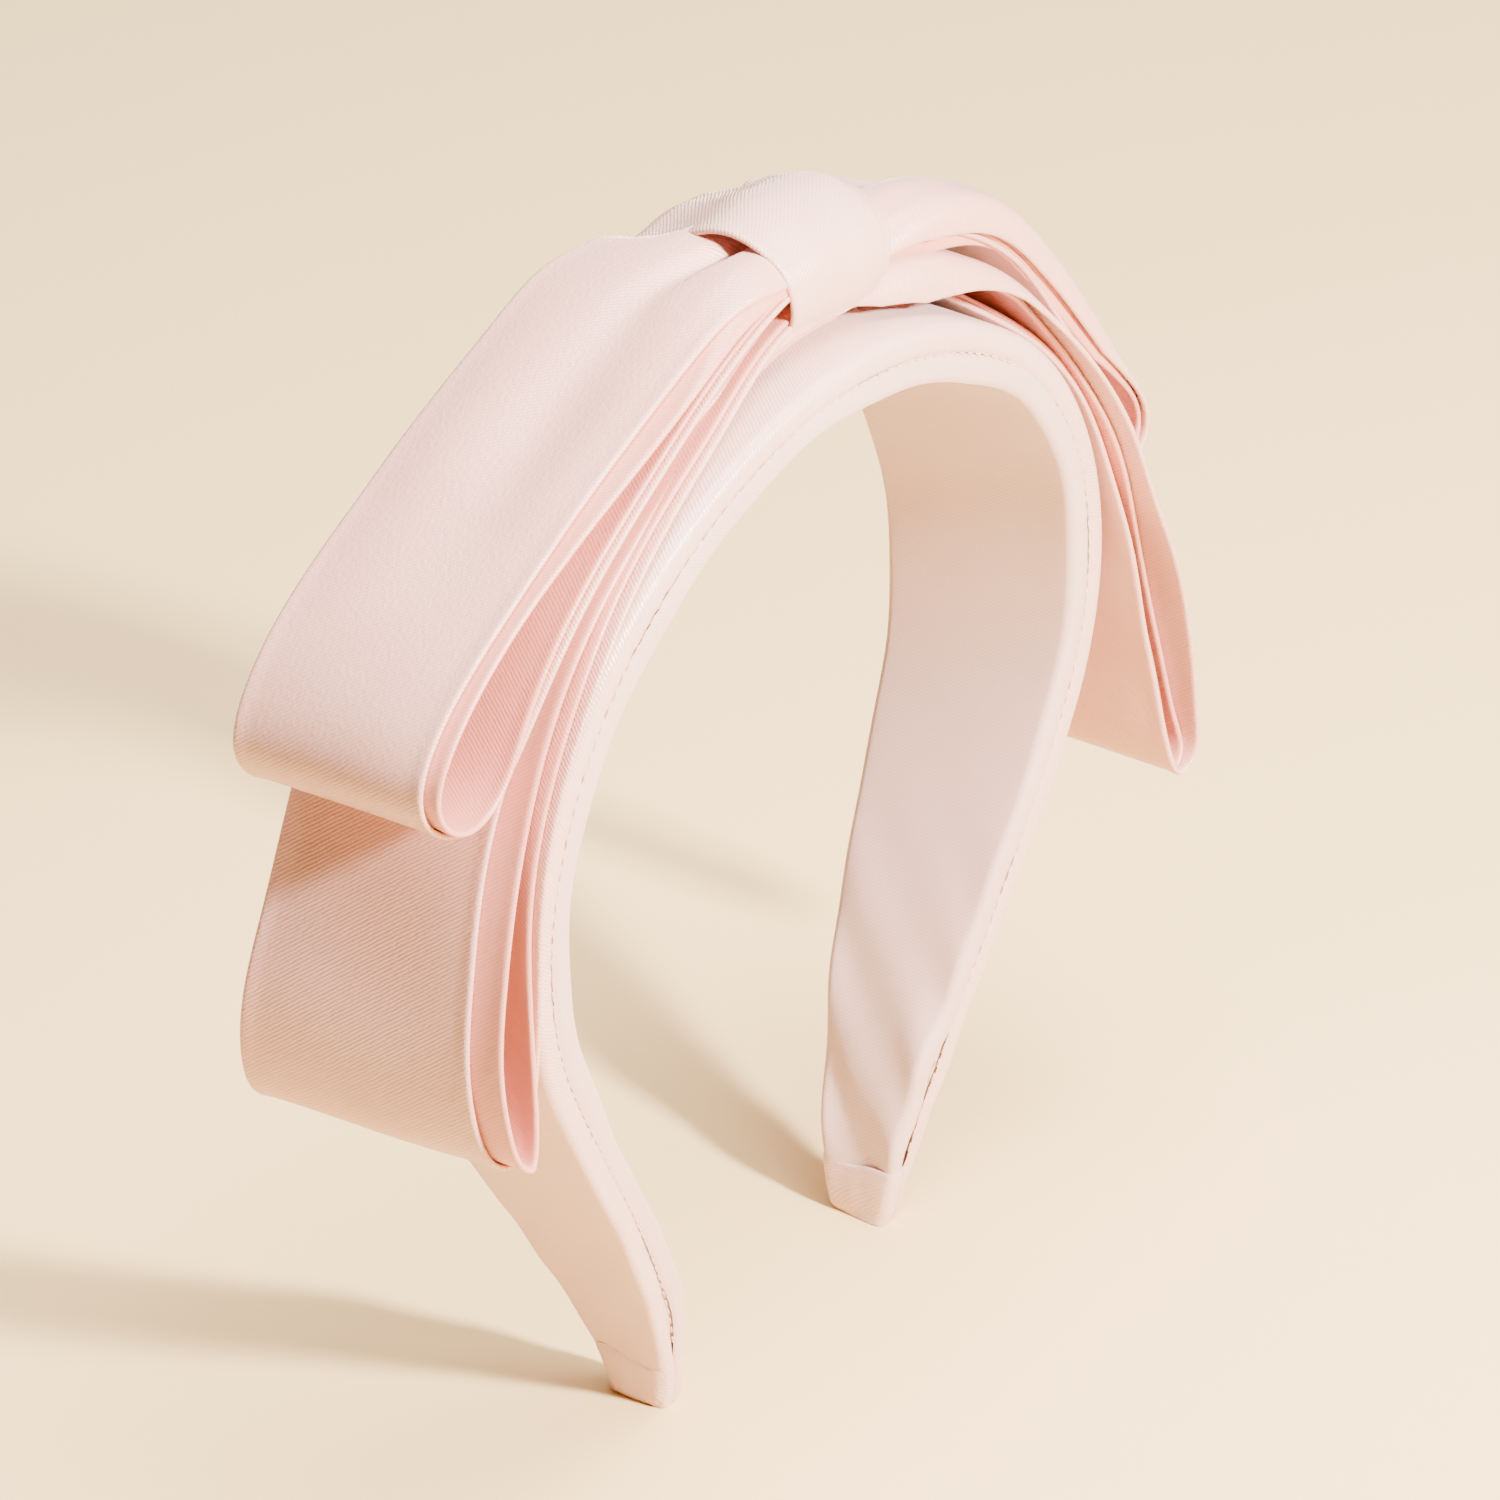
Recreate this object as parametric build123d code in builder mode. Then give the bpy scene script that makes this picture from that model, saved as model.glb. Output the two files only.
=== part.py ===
"""Knotted headband: padded satin hoop with a stacked two-tier bow and a wrapped knot.

X runs across the hoop, -Y is its front edge, +Y its back edge, +Z is up. The hoop stands
on its two tips at z = 0. Everything is in millimetres.
"""

import os
from math import cos, radians, sin

from build123d import *

# Hoop: the arch of its mid line, half way through the padding
crown_height = 162.0
crown_radius, crown_turn = 74.5, 38
shoulder_radius, shoulder_turn = 56.3, 76
knee_x, knee_z = 34.4, 23.0  # mid line where each leg starts to flare out
tip_x = 29.0                 # mid line of each tip on the floor
hoop_y = -1.8                # middle of the hoop's width

# Hoop: half thickness at the crown, at the knee and at the tip, and half widths by height
half_pad = (4.6, 4.0, 2.6)
half_widths = ((5.2, 0.0), (12.5, 46.0), (17.7, 110.0), (20.8, 168.0))
cloth = 0.6                  # satin cover and lining
core = 2.0                   # springy strip
tip_floor = 1.2              # satin under each end of the core and pad
tip_fold_height = 9.0
seam_width, seam_stand = 0.7, 0.4

# Bow: two tiers of folded loops, each of two plies of satin
ply = 0.5
bow_y = -0.25                # middle of the bow's width
bow_yaw = -2.0               # the bow is turned a little on the hoop
pinch_angle = 7.3            # and pinched a little to the right of the crown
pinch_half_width = 12.0
upper_half_width, lower_half_width = 17.8, 20.6

# Loop outlines as (angle along the hoop from its crown, height above its cover),
# out along the top of the loop, round its fold and back along the hoop
upper_left = (
    (7.0, 9.4), (-4, 12.4), (-18, 12.8), (-32, 14.3), (-46, 18.6), (-58, 24.0), (-65, 24.3),
    (-68.8, 17.8), (-68, 10.5), (-64, 6.2), (-54, 4.3), (-36, 4.2), (-18, 4.9), (-6, 6.6), (7.0, 7.0),
)
upper_right = (
    (7.6, 9.4), (14, 12.5), (22, 16.6), (32, 15.4), (44, 14.0), (58, 14.2), (70, 17.0), (78, 18.2),
    (82, 14.5), (81, 9.0), (76, 5.8), (66, 4.3), (48, 4.2), (30, 4.9), (18, 6.6), (7.6, 7.0),
)
lower_left = (
    (7.0, 6.0), (-5, 6.0), (-15, 3.9), (-36, 3.5), (-58, 3.5), (-70, 4.6), (-86, 9.0), (-96, 12.9),
    (-104, 14.9), (-109, 14.6), (-112, 11.6), (-110, 7.8), (-102, 3.6), (-91, 1.4), (-78, 0.8),
    (-62, 0.8), (-46, 0.8), (-30, 0.8), (-17, 0.9), (-5, 3.4), (7.0, 3.6),
)
lower_right = (
    (7.6, 6.0), (19, 6.0), (29, 3.9), (48, 3.5), (66, 3.5), (80, 5.0), (94, 9.6), (106, 15.8),
    (114, 21.6), (118, 24.2), (120.5, 22.6), (119, 18.4), (112, 12.0), (102, 6.0), (90, 2.0),
    (78, 0.9), (64, 0.8), (48, 0.8), (32, 0.9), (19, 3.4), (7.6, 3.6),
)

# Knot: a ring of satin wrapped round the pinch, seen along the hoop
knot_length = 26.0
knot_width = 33.0
knot_low, knot_top = 0.4, 20.4      # above the hoop at the pinch
knot_corner = 5.0
knot_wall = 1.2

# Threads inside and under the knot
gather_low, gather_top = 2.2, 11.0
gather_half_width = 12.9
gather_length, gather_wall = 3.0, 0.8
stitch_radius, stitch_length, stitch_pitch, stitch_count = 0.4, 3.0, 6.0, 4
tack_row, tack_height = 10.0, -0.1           # in the gap between the knot and the hoop
closing_row, closing_height = 8.0, 2.05      # on the knot's floor

outline_steps = 72           # points along a loop's outline
far = 240.0                  # longer than anything in the model


def hoop_line(top, low, tip):
    """Draw half an arch of the hoop, moved out from the mid line by three amounts."""
    crown = JernArc((0, crown_height + top), (1, 0), crown_radius + top, -crown_turn)
    shoulder = JernArc(crown @ 1, crown % 1, shoulder_radius + top, -shoulder_turn)
    leg_side = (knee_x + low * 0.9, knee_z - low * 0.44)
    Spline(shoulder @ 1, leg_side, (tip_x + tip, 0), tangents=(shoulder % 1, (0, -1)))


def hoop_layer(inside, outside):
    """Sketch the arch between two lines; each is (top, low, tip) from the mid line."""
    with BuildSketch(Plane.XZ.offset(-far / 2)) as layer:
        with BuildLine():
            hoop_line(*inside)
            hoop_line(*outside)
            Line((tip_x + inside[2], 0), (tip_x + outside[2], 0))
            mirror(about=Plane.YZ)
        make_face()
    return layer.sketch


def edge_plan(inset):
    """Sketch the hoop's width, seen from its side, made narrower by inset all round."""
    (tip_half, floor), *_, (top_half, top) = half_widths
    with BuildSketch(Plane.YZ.offset(-far / 2)) as plan:
        with BuildLine():
            Spline(*[(hoop_y + half - inset, height) for half, height in half_widths])
            mirror(about=Plane.YZ.offset(hoop_y))
            Line((hoop_y - tip_half + inset, floor), (hoop_y + tip_half - inset, floor))
            Line((hoop_y - top_half + inset, top), (hoop_y + top_half - inset, top))
        make_face()
    return plan.sketch


def inset_line(share, inset):
    """Half thicknesses of a line at a share of the padding, -1 inside to +1 outside."""
    return tuple(share * half - inset for half in half_pad)


def shaped_layer(inside, outside, inset):
    """Make the solid of one hoop layer, cut to the hoop's width less an inset."""
    with BuildPart() as solid:
        extrude(hoop_layer(inside, outside), amount=far, dir=(0, -1, 0))
        extrude(edge_plan(inset), amount=far, dir=(1, 0, 0), mode=Mode.INTERSECT)
    return solid.part


def hoop_point(angle, height):
    """Point over the hoop's cover, by angle from the crown and height above the cover."""
    turn = radians(abs(angle))
    side = 1 if angle > 0 else -1
    rise = crown_radius - shoulder_radius
    x, z = 0, crown_height - crown_radius
    radius = crown_radius
    if abs(angle) > crown_turn:
        x += rise * sin(radians(crown_turn))
        z += rise * cos(radians(crown_turn))
        radius = shoulder_radius
    reach = radius + half_pad[0] + height
    return side * (x + reach * sin(turn)), z + reach * cos(turn)


def loop_outline(outline, inset):
    """Sketch a folded loop, seen from the hoop's front edge, made smaller by inset."""
    inwards = 90 if outline[1][0] < pinch_angle else -90
    steps = [step / outline_steps for step in range(outline_steps + 1)]
    flat = Spline(*outline)
    path = Spline(*[hoop_point((flat @ t).X, (flat @ t).Y) for t in steps])
    points = [path @ t + (path % t).rotate(Axis.Z, inwards) * inset for t in steps]
    with BuildSketch(Plane.XZ.offset(-far / 2)) as face:
        with BuildLine():
            run = Spline(*points)
            Line(run @ 1, run @ 0)
        make_face()
    return face.sketch


def ribbon_plan(half_width):
    """Sketch the bow's ribbon from above: pinched at the knot, full width at its ends."""
    pinch_x, _ = hoop_point(pinch_angle, 0)
    run = Plane((pinch_x, bow_y, 0)).rotated((0, 0, bow_yaw))
    with BuildSketch(run) as plan:
        with BuildLine():
            Line((0, -pinch_half_width), (0, pinch_half_width))
            Spline(
                (0, pinch_half_width),
                (16, pinch_half_width + 1.0),
                (44, half_width - 0.6),
                (60, half_width),
                tangents=((1, 0), (1, 0)),
            )
            Line((60, half_width), (far / 2, half_width))
            mirror(about=Plane.XZ)
            Line((far / 2, half_width), (far / 2, -half_width))
        make_face()
        mirror(about=Plane.YZ)
    return plan.sketch


def loop_ply(outline, inset, half_width):
    """Make one ply of a loop: a closed strip that follows the outline at an inset."""
    with BuildPart() as solid:
        extrude(loop_outline(outline, inset), amount=far, dir=(0, -1, 0))
        extrude(
            loop_outline(outline, inset + ply), amount=far, dir=(0, -1, 0), mode=Mode.SUBTRACT
        )
        extrude(ribbon_plan(half_width), amount=far, dir=(0, 0, 1), mode=Mode.INTERSECT)
    return solid.part


def knot_plane(along):
    """Plane across the hoop at the pinch: its X is the row's +Y, its Y points outwards."""
    x, z = hoop_point(pinch_angle, 0)
    run = (cos(radians(pinch_angle)), 0, -sin(radians(pinch_angle)))
    return Plane((x, bow_y, z), x_dir=(0, 1, 0), z_dir=run).offset(along)


os.makedirs("parts", exist_ok=True)

inner_face = inset_line(-1, 0)
inner_cavity = inset_line(-1, -cloth)
core_back = inset_line(-1, -cloth - core)
seam_line = (0, 0, 0)
outer_cavity = inset_line(1, cloth)
outer_face = inset_line(1, 0)

# What the two satin skins and the tip folds leave free for the core and the pad
with BuildPart() as cavity:
    add(shaped_layer(inner_cavity, outer_cavity, cloth))
    split(bisect_by=Plane.XY.offset(tip_floor))

# Springy core: stops short of the floor inside the tip folds
with BuildPart() as hoop_core:
    add(shaped_layer(inner_cavity, core_back, cloth))
    split(bisect_by=Plane.XY.offset(tip_floor))
hoop_core.part.label = "hoop_core"
export_step(hoop_core.part, "parts/hoop_core.step")

# Foam pad on the outside of the core
with BuildPart() as foam_pad:
    add(shaped_layer(core_back, outer_cavity, cloth))
    split(bisect_by=Plane.XY.offset(tip_floor))
foam_pad.part.label = "foam_pad"
export_step(foam_pad.part, "parts/foam_pad.step")

# Cover and lining: two satin skins that meet half way up the hoop's edges
with BuildPart() as outer_cover:
    add(shaped_layer(seam_line, outer_face, 0))
    add(cavity.part, mode=Mode.SUBTRACT)
    split(bisect_by=Plane.XY.offset(tip_fold_height))
outer_cover.part.label = "outer_cover"
export_step(outer_cover.part, "parts/outer_cover.step")

with BuildPart() as inner_lining:
    add(shaped_layer(inner_face, seam_line, 0))
    add(cavity.part, mode=Mode.SUBTRACT)
    split(bisect_by=Plane.XY.offset(tip_fold_height))
inner_lining.part.label = "inner_lining"
export_step(inner_lining.part, "parts/inner_lining.step")

# Tip folds: the satin turned up round each end of the hoop
for name, half in (("left_tip_fold", Keep.BOTTOM), ("right_tip_fold", Keep.TOP)):
    with BuildPart() as tip_fold:
        add(shaped_layer(inner_face, outer_face, 0))
        split(bisect_by=Plane.XY.offset(tip_fold_height), keep=Keep.BOTTOM)
        add(cavity.part, mode=Mode.SUBTRACT)
        split(bisect_by=Plane.YZ, keep=half)
    tip_fold.part.label = name
    export_step(tip_fold.part, f"parts/{name}.step")

# Seam threads: a line of stitches along the middle of each edge
for name, half in (("front_seam_thread", Keep.TOP), ("back_seam_thread", Keep.BOTTOM)):
    with BuildPart() as seam_thread:
        add(shaped_layer(inset_line(0, seam_width / 2), inset_line(0, -seam_width / 2), -seam_stand))
        extrude(edge_plan(0), amount=far, dir=(1, 0, 0), mode=Mode.SUBTRACT)
        split(bisect_by=Plane.XY.offset(tip_fold_height))
        split(bisect_by=Plane.XZ.offset(-hoop_y), keep=half)
    seam_thread.part.label = name
    export_step(seam_thread.part, f"parts/{name}.step")

# Bow loops: a face ply with a backing ply inside it
for name, outline, half_width in (
    ("upper_left_loop", upper_left, upper_half_width),
    ("upper_right_loop", upper_right, upper_half_width),
    ("lower_left_loop", lower_left, lower_half_width),
    ("lower_right_loop", lower_right, lower_half_width),
):
    for kind, inset in (("face", 0), ("backing", ply)):
        with BuildPart() as strip:
            add(loop_ply(outline, inset, half_width))
        strip.part.label = f"{name}_{kind}"
        export_step(strip.part, f"parts/{name}_{kind}.step")

# Knot wrap: a closed ring round the pinched loops, resting on the hoop
knot_height = knot_top - knot_low
with BuildPart() as knot_wrap:
    with BuildSketch(knot_plane(-knot_length / 2)):
        with Locations((0, knot_low + knot_height / 2)):
            RectangleRounded(knot_width, knot_height, knot_corner)
            RectangleRounded(
                knot_width - 2 * knot_wall,
                knot_height - 2 * knot_wall,
                knot_corner - knot_wall,
                mode=Mode.SUBTRACT,
            )
    extrude(amount=knot_length)
knot_wrap.part.label = "knot_wrap"
export_step(knot_wrap.part, "parts/knot_wrap.step")

# Gathering thread: wound round all the plies inside the knot
gather_height = gather_top - gather_low
with BuildPart() as gather_thread:
    with BuildSketch(knot_plane(-gather_length / 2)):
        with Locations((0, gather_low + gather_height / 2)):
            Rectangle(2 * gather_half_width, gather_height)
            Rectangle(
                2 * (gather_half_width - gather_wall),
                gather_height - 2 * gather_wall,
                mode=Mode.SUBTRACT,
            )
    extrude(amount=gather_length)
gather_thread.part.label = "gather_thread"
export_step(gather_thread.part, "parts/gather_thread.step")

# Hand stitches: rows across the hoop, under the knot and inside its floor
for name, rows, height in (
    ("bow_tack_stitches", (-tack_row, tack_row), tack_height),
    ("knot_closing_stitches", (-closing_row, closing_row), closing_height),
):
    with BuildPart() as stitches:
        for row in rows:
            with Locations(knot_plane(row)):
                with Locations((0, height)):
                    with GridLocations(stitch_pitch, 1, stitch_count, 1):
                        Cylinder(stitch_radius, stitch_length, rotation=(0, 90, 0))
    stitches.part.label = name
    export_step(stitches.part, f"parts/{name}.step")
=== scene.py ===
"""Looks of a knotted satin headband: padded hoop, two-tier bow of folded satin loops, knot.

The design numbers are millimetres in the model's own frame: X across the hoop, -Y its front
edge, +Z up. Meshes are made in metres.
"""

from math import cos, hypot, pi, radians, sin

import bmesh
import bpy
import numpy as np
from mathutils import Matrix, Vector


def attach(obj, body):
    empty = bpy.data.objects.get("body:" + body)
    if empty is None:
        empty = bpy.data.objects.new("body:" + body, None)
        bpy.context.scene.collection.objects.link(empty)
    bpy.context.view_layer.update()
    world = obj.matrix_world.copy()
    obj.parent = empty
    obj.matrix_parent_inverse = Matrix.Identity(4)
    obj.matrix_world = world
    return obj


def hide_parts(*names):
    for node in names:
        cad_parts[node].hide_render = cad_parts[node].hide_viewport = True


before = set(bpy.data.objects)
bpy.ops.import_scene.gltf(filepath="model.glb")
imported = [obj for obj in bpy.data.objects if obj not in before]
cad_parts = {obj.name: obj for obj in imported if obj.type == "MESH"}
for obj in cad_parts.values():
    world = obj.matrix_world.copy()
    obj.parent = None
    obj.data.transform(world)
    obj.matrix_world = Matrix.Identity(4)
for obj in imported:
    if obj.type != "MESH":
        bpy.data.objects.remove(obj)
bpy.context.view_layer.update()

MM = 0.001

# Hoop, as in the CAD design
CROWN_HEIGHT = 162.0
CROWN_RADIUS, CROWN_TURN = 74.5, 38.0
SHOULDER_RADIUS, SHOULDER_TURN = 56.3, 76.0
KNEE = (34.4, 23.0)
TIP_X = 29.0
HOOP_Y = -1.8
HALF_PAD = (4.6, 4.0, 2.6)                 # crown, knee, tip
HALF_WIDTH_Z = (0.0, 46.0, 110.0, 168.0)
HALF_WIDTH = (5.2, 12.5, 17.7, 20.8)

PINCH_ANGLE = 7.3                          # where the bow is pinched, from the crown

# Each loop's ribbon, out along its top, round its fold and back to the knot. Columns: angle
# along the hoop, height above the cover, front edge of the face ply, front edge of the
# backing ply, back edge, and how far the edges curl down towards the hoop
LOOPS = {
    "upper_left": (
        (7.0, 15.6, -13.4, -13.4, 8.5, 1.6),
        (-4, 16.8, -15.4, -15.6, 12.0, 1.6),
        (-10, 16.0, -14.8, -16.4, 15.8, 1.2),
        (-18, 14.4, -14.2, -17.2, 16.6, 1.0),
        (-32, 14.5, -14.0, -16.6, 17.4, 0.8),
        (-46, 18.6, -14.0, -15.9, 18.0, 0.4),
        (-58, 24.0, -14.0, -16.3, 18.0, 0.2),
        (-65, 24.3, -14.2, -16.5, 18.0, 0.0),
        (-68.8, 17.8, -14.6, -16.5, 18.0, 0.0),
        (-68, 10.5, -15.0, -16.2, 18.0, 0.0),
        (-64, 6.8, -15.3, -16.2, 18.0, 0.0),
        (-54, 5.3, -16.4, -16.0, 18.0, 0.0),
        (-36, 5.3, -17.2, -16.4, 17.6, 0.0),
        (-18, 5.8, -16.6, -15.8, 16.5, 0.4),
        (-6, 8.6, -16.0, -15.4, 12.4, 0.8),
        (7.0, 9.6, -14.4, -14.0, 8.5, 1.0),
    ),
    "upper_right": (
        (7.6, 8.4, -13.4, -12.4, 8.5, 2.4),
        (14, 13.2, -14.6, -13.2, 11.4, 2.0),
        (22, 18.0, -15.8, -14.2, 15.4, 1.8),
        (32, 18.4, -16.4, -14.8, 17.6, 1.4),
        (44, 15.8, -16.6, -15.2, 18.2, 1.0),
        (58, 14.8, -16.6, -15.4, 18.6, 0.6),
        (70, 17.0, -16.2, -15.4, 18.6, 0.4),
        (78, 18.2, -16.2, -15.2, 18.6, 0.2),
        (82, 14.5, -16.0, -15.2, 18.6, 0.0),
        (81, 9.4, -15.8, -15.2, 18.6, 0.0),
        (76, 6.6, -15.8, -15.2, 18.6, 0.0),
        (66, 6.0, -16.0, -15.0, 18.6, 0.0),
        (48, 7.4, -15.6, -15.0, 18.0, 0.0),
        (30, 10.6, -15.2, -14.6, 17.0, 0.4),
        (18, 10.0, -14.2, -13.4, 13.0, 0.8),
        (7.6, 7.8, -13.0, -12.4, 8.5, 1.0),
    ),
    "lower_left": (
        (7.0, 7.0, -14.6, -14.4, 8.5, 1.2),
        (-5, 6.8, -15.6, -15.6, 11.8, 1.0),
        (-15, 4.7, -14.0, -15.8, 16.0, 0.8),
        (-36, 4.4, -15.0, -17.6, 19.0, 0.2),
        (-58, 4.4, -13.9, -17.8, 19.8, 0.0),
        (-70, 5.2, -13.6, -18.4, 20.0, 0.0),
        (-86, 9.0, -15.2, -20.2, 21.2, 0.0),
        (-96, 12.9, -16.4, -21.5, 22.6, 0.0),
        (-104, 14.9, -17.5, -22.6, 23.6, 0.0),
        (-109, 14.6, -18.2, -22.8, 23.9, 0.0),
        (-112, 11.6, -18.8, -22.6, 24.0, 0.0),
        (-110, 7.8, -19.6, -22.0, 24.0, 0.0),
        (-102, 3.6, -20.6, -21.0, 23.6, 0.0),
        (-91, 1.4, -21.2, -20.3, 22.6, 0.0),
        (-78, 0.8, -21.2, -19.9, 21.4, 0.0),
        (-62, 0.8, -21.2, -19.7, 20.6, 0.0),
        (-46, 0.8, -21.0, -19.4, 20.4, 0.0),
        (-30, 0.8, -19.6, -18.2, 19.6, 0.0),
        (-17, 1.2, -17.8, -16.8, 17.4, 0.0),
        (-5, 4.2, -16.0, -15.2, 12.0, 0.4),
        (7.0, 4.6, -14.2, -13.8, 8.5, 0.6),
    ),
    "lower_right": (
        (7.6, 6.6, -14.8, -13.6, 8.5, 0.6),
        (19, 8.4, -17.2, -15.6, 13.4, 0.4),
        (29, 8.6, -18.2, -16.4, 17.6, 0.2),
        (38, 7.0, -19.2, -16.8, 18.8, 0.0),
        (48, 5.2, -20.4, -17.0, 19.6, 0.0),
        (66, 4.2, -23.4, -20.0, 20.4, 0.0),
        (80, 5.0, -25.0, -21.2, 21.0, 0.0),
        (94, 9.6, -26.0, -20.0, 21.6, 0.0),
        (106, 15.8, -26.4, -21.0, 22.2, 0.0),
        (114, 21.6, -26.3, -22.6, 22.6, 0.0),
        (118, 24.2, -26.0, -24.0, 22.8, 0.0),
        (120.5, 22.6, -25.4, -24.4, 22.8, 0.0),
        (119, 18.4, -24.8, -24.0, 22.6, 0.0),
        (112, 12.0, -23.6, -23.0, 22.4, 0.0),
        (102, 6.0, -22.5, -21.7, 22.0, 0.0),
        (90, 2.0, -21.7, -20.3, 21.4, 0.0),
        (78, 0.9, -20.3, -19.4, 20.8, 0.0),
        (64, 0.9, -18.7, -17.7, 20.2, 0.0),
        (48, 1.0, -15.6, -14.6, 19.4, 0.0),
        (36, 1.2, -11.0, -10.2, 18.0, 0.0),
        (19, 2.6, -7.0, -6.6, 13.4, 0.4),
        (7.6, 3.2, -6.0, -6.0, 8.5, 0.6),
    ),
}

# How each ribbon's front margin rolls down where it is gathered: the roll's radius, then
# distance from the knot, and millimetres of margin rolled on the face and the backing ply
ROLLS = {
    "upper_left": (3.4, ((0, 6.0, 6.0), (14, 4.5, 5.0), (30, 1.0, 2.5), (46, 0, 0), (300, 0, 0))),
    "upper_right": (3.0, ((0, 3.0, 7.0), (10, 3.5, 7.5), (23, 6.2, 9.0), (34, 6.2, 8.2),
                          (46, 6.0, 7.2), (60, 5.8, 7.0), (86, 5.0, 5.5), (104, 2.0, 2.0),
                          (114, 0, 0), (300, 0, 0))),
    "lower_left": (3.0, ((0, 4.0, 4.0), (22, 2.5, 2.5), (42, 0, 0), (300, 0, 0))),
    "lower_right": (4.0, ((0, 4.0, 3.5), (8, 6.5, 6.0), (19, 8.0, 7.0), (32, 5.8, 4.9),
                          (46, 3.8, 3.1), (58, 2.2, 1.7), (70, 0.8, 0.6), (80, 0, 0),
                          (300, 0, 0))),
}

# How far the back edge of each loop stands out past its front edge, round the fold
FLARES = {"upper_left": 1.4, "upper_right": 0.0, "lower_left": 3.4, "lower_right": 0.0}
PLY = 0.45                                 # one thickness of satin
PLY_EDGE = 0.85                            # where its edge is turned in
PLY_PITCH = 0.90                           # from the face ply to the backing ply

EDGE_REACH = 1.3                           # how far in the turned edge is felt
BACKING_SHORT = 0.6                        # the backing's back edge stops inside the face's

RIBBON_STEPS = 260
WIDTH_STEPS = 52
MOST_ROLL = radians(100)

# Flat size of the tip fold's cut in metres, which sets the length of its UVs. Two flat sizes are
# too small for the cloth as modelled: the hoop's satin measures 48 to 49 mm round at the crown, and
# the tip folds up to 37 mm round
TIP_FOLD_CUT = (0.032, 0.015)

STITCH_PITCH, STITCH_LENGTH, STITCH_RADIUS = 2.4, 1.5, 0.16
STITCH_SIDES = 6
FLOOR_REACH = 6000


# ---------------------------------------------------------------- curves

def natural_spline(t, values, at):
    """Values of the natural cubic spline through (t, values), at other places."""
    t = np.asarray(t, float)
    values = np.asarray(values, float)
    gap = np.diff(t)
    count = len(t)
    system = np.eye(count)
    right = np.zeros(values.shape)
    for i in range(1, count - 1):
        system[i, i - 1] = gap[i - 1]
        system[i, i] = 2 * (gap[i - 1] + gap[i])
        system[i, i + 1] = gap[i]
        right[i] = 6 * ((values[i + 1] - values[i]) / gap[i]
                        - (values[i] - values[i - 1]) / gap[i - 1])
    bend = np.linalg.solve(system, right)
    at = np.asarray(at, float)
    i = np.clip(np.searchsorted(t, at) - 1, 0, count - 2)
    h = gap[i]
    a = (t[i + 1] - at) / h
    b = (at - t[i]) / h
    if values.ndim > 1:
        a, b, h = a[:, None], b[:, None], h[:, None]
    return (a * values[i] + b * values[i + 1]
            + ((a ** 3 - a) * bend[i] + (b ** 3 - b) * bend[i + 1]) * h ** 2 / 6)


def evenly(points, count, *more):
    """Resample a polyline to even steps, and any arrays that go with it."""
    run = np.r_[0, np.cumsum(np.hypot(*np.diff(points, axis=0).T))]
    at = np.linspace(0, run[-1], count)
    lines = [np.stack([np.interp(at, run, column) for column in points.T], -1)]
    lines += [np.stack([np.interp(at, run, column) for column in extra.T], -1) for extra in more]
    return at, lines


def normals_of(points):
    """Unit normals to the left of a polyline's direction."""
    along = np.gradient(points, axis=0)
    along /= np.hypot(*along.T)[:, None]
    return np.stack([-along[:, 1], along[:, 0]], -1)


def hoop_point(angle, height):
    """Points over the hoop's cover, by angle from the crown and height above the cover."""
    angle = np.asarray(angle, float)
    turn = np.radians(abs(angle))
    side = np.where(angle > 0, 1, -1)
    shoulder = abs(angle) > CROWN_TURN
    rise = CROWN_RADIUS - SHOULDER_RADIUS
    x0 = np.where(shoulder, rise * sin(radians(CROWN_TURN)), 0)
    z0 = CROWN_HEIGHT - CROWN_RADIUS + np.where(shoulder, rise * cos(radians(CROWN_TURN)), 0)
    reach = np.where(shoulder, SHOULDER_RADIUS, CROWN_RADIUS) + HALF_PAD[0] + height
    return np.stack([side * (x0 + reach * np.sin(turn)), z0 + reach * np.cos(turn)], -1)


def smoothstep(low, high, x):
    t = np.clip((x - low) / (high - low), 0, 1)
    return t * t * (3 - 2 * t)


def waves(a, b, seed, count=5, long_wave=40.0, short_wave=18.0):
    """Soft random ripples over a surface, from -1 to 1 or so; a and b are places in mm."""
    rng = np.random.default_rng(seed)
    total = 0
    for _ in range(count):
        length = rng.uniform(short_wave, long_wave)
        turn = rng.uniform(0, pi)
        phase = rng.uniform(0, 2 * pi)
        total = total + np.sin(2 * pi * (a * cos(turn) + b * sin(turn)) / length + phase)
    return total / count ** 0.5


# ---------------------------------------------------------------- meshes

def grid_mesh(name, points, uv, material, round_columns=False, round_rows=False, capped=False):
    """A mesh from a grid of points in mm, shaped (rows, columns, 3), with UVs in metres.

    round_columns joins each row's last point to its first, round_rows the last row to the
    first, and capped closes the two ends of a tube."""
    rows, columns = points.shape[:2]
    i, j = np.meshgrid(np.arange(rows if round_rows else rows - 1),
                       np.arange(columns if round_columns else columns - 1), indexing="ij")
    k = (j + 1) % columns
    below = (i + 1) % rows
    faces = np.stack([i * columns + j, i * columns + k,
                      below * columns + k, below * columns + j], -1)
    faces = faces.reshape(-1, 4).tolist()
    if capped:
        faces.append(list(range(columns))[::-1])
        faces.append(list(range((rows - 1) * columns, rows * columns)))
    mesh = bpy.data.meshes.new(name)
    mesh.from_pydata((points.reshape(-1, 3) * MM).tolist(), [], faces)
    layer = mesh.uv_layers.new(name="cloth")
    corners = np.array([corner for face in faces for corner in face])
    layer.data.foreach_set("uv", (uv.reshape(-1, 2)[corners] * MM).astype(np.float32).reshape(-1))
    mesh.polygons.foreach_set("use_smooth", np.ones(len(faces), bool))
    mesh.materials.append(material)
    mesh.validate()
    piece = bpy.data.objects.new(name, mesh)
    bpy.context.scene.collection.objects.link(piece)
    return piece


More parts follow.
